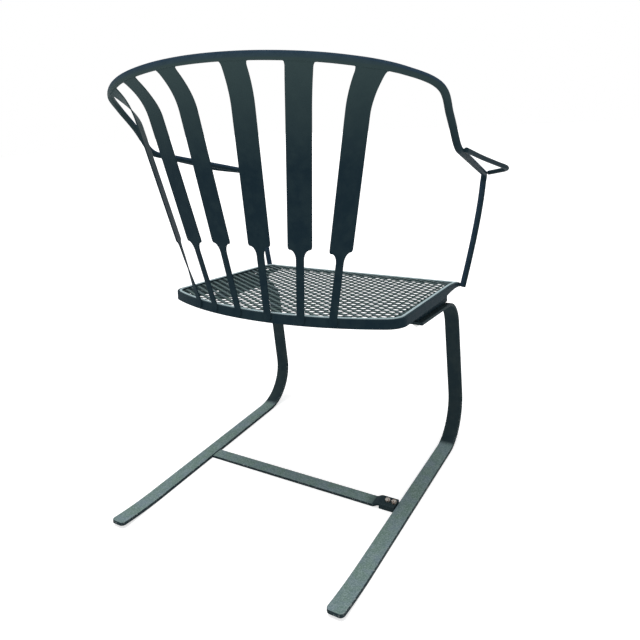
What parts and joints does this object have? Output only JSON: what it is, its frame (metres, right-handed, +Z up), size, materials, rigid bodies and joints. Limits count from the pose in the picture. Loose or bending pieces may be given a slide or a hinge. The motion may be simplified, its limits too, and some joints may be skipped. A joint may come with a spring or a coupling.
{
  "type": "spring lawn chair",
  "caption": "Metal lawn chair with C-shaped spring legs, expanded-metal seat, flared flat slats and one bent rail forming back, arms and posts.",
  "frame": {"origin": "middle of the part's box in X and Y, on the floor plane", "axes": "+Z up, the sitter faces -Y, X is the width and X = 0 the middle plane"},
  "size_m": [0.8032, 0.6836, 0.9281],
  "materials": {
    "frame_paint": "semi-gloss dark green-black outdoor paint",
    "net_paint": "semi-gloss dark green-black outdoor paint, worn lighter on the strands",
    "plated_steel": "dull zinc plate"
  },
  "bodies": {
    "base": {"spring_lower_left": "frame_paint", "spring_lower_right": "frame_paint", "crossbar": "frame_paint", "crossbar_lug": "frame_paint", "crossbar_bolt_1": "plated_steel", "crossbar_nut_1": "plated_steel", "crossbar_bolt_2": "plated_steel", "crossbar_nut_2": "plated_steel"},
    "seat": {"seat_band": "frame_paint", "seat_rim": "frame_paint", "seat_mesh": "net_paint", "back_rail": "frame_paint", "bearer_left": "frame_paint", "arm_loop_left": "frame_paint", "spacer_left_rear": "frame_paint", "seat_bolt_left_rear": "plated_steel", "seat_washer_left_rear": "plated_steel", "seat_nut_left_rear": "plated_steel", "spacer_left_front": "frame_paint", "seat_bolt_left_front": "plated_steel", "seat_washer_left_front": "plated_steel", "seat_nut_left_front": "plated_steel", "bearer_right": "frame_paint", "arm_loop_right": "frame_paint", "spacer_right_rear": "frame_paint", "seat_bolt_right_rear": "plated_steel", "seat_washer_right_rear": "plated_steel", "seat_nut_right_rear": "plated_steel", "spacer_right_front": "frame_paint", "seat_bolt_right_front": "plated_steel", "seat_washer_right_front": "plated_steel", "seat_nut_right_front": "plated_steel", "slat_1": "frame_paint", "slat_2": "frame_paint", "slat_3": "frame_paint", "slat_4": "frame_paint", "slat_5": "frame_paint", "slat_6": "frame_paint", "spring_upper_left": "frame_paint", "spring_upper_right": "frame_paint"}
  },
  "joints": [
    {"name": "spring_rock", "type": "hinge", "parent": "base", "child": "seat", "pos_m": [0, -0.2884, 0.2156], "axis": [-1, 0, 0], "range_deg": [-1.5, 8], "stiffness_Nm_per_rad": 1400, "springref_deg": -0.72}
  ]
}
